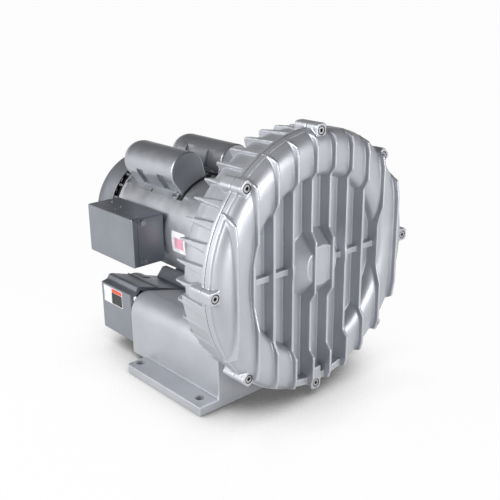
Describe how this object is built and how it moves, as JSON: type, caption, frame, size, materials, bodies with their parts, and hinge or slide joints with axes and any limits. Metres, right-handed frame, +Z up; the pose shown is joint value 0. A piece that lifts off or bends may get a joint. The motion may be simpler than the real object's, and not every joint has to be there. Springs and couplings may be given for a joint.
{
  "type": "side channel blower",
  "caption": "Side channel blower: ribbed stepped cover on a cast ring housing with feet and silencer, bladed impeller, direct-drive motor with capacitor covers and conduit box.",
  "frame": {"origin": "the middle of the four foot holes, on the floor under the foot", "axes": "+X to the right seen from the ribbed cover, +Y from the cover to the motor fan along the shaft, +Z up"},
  "size_m": [0.389, 0.437, 0.3995],
  "materials": {
    "cast_aluminium": "silver paint on cast metal, satin",
    "painted_sheet": "silver grey paint, satin",
    "zinc_screws": "zinc plated",
    "machined_steel": "ground",
    "lamination_steel": "stacked sheet",
    "copper_winding": "varnished copper wire",
    "cage_aluminium": "as cast",
    "black_rubber": "matte",
    "black_plastic": "moulded",
    "grey_foam": "open-cell foam"
  },
  "bodies": {
    "blower_body": {"cover": "cast_aluminium", "cover_bolts": "zinc_screws", "cover_washers": "zinc_screws", "housing": "cast_aluminium", "extension_gasket": "black_rubber", "silencer_extension": "cast_aluminium", "extension_screws": "zinc_screws", "silencer_foam": "grey_foam", "shaft_seal": "black_rubber", "front_bearing_outer_race": "machined_steel", "rear_bearing_outer_race": "machined_steel", "front_bearing_balls": "machined_steel", "rear_bearing_balls": "machined_steel", "wave_spring": "machined_steel", "front_end_bell": "cast_aluminium", "bell_bolts": "zinc_screws", "motor_shell": "painted_sheet", "stator_core": "lamination_steel", "stator_windings": "copper_winding", "switch_plate": "black_plastic", "rear_end_bell": "cast_aluminium", "tie_bolts": "zinc_screws", "fan_cowl": "painted_sheet", "conduit_pad": "painted_sheet", "conduit_box": "painted_sheet", "conduit_lid": "painted_sheet", "lid_screws": "zinc_screws", "lead_grommet": "black_rubber", "left_capacitor_cover": "painted_sheet", "right_capacitor_cover": "painted_sheet", "left_cover_gasket": "black_rubber", "right_cover_gasket": "black_rubber", "start_capacitor": "black_plastic", "run_capacitor": "black_plastic", "capacitor_cover_screws": "zinc_screws"},
    "rotor": {"motor_shaft": "machined_steel", "impeller": "cast_aluminium", "shaft_key": "machined_steel", "shim_spacers": "machined_steel", "nut_washer": "machined_steel", "impeller_nut": "machined_steel", "retaining_ring": "machined_steel", "front_bearing_inner_race": "machined_steel", "rear_bearing_inner_race": "machined_steel", "rotor_core": "lamination_steel", "rotor_end_rings": "cage_aluminium", "centrifugal_switch": "black_plastic", "cooling_fan": "black_plastic"}
  },
  "joints": [
    {"name": "shaft_spin", "type": "hinge", "parent": "blower_body", "child": "rotor", "pos_m": [0, 0, 0.205], "axis": [0, 1, 0], "continuous": true}
  ]
}
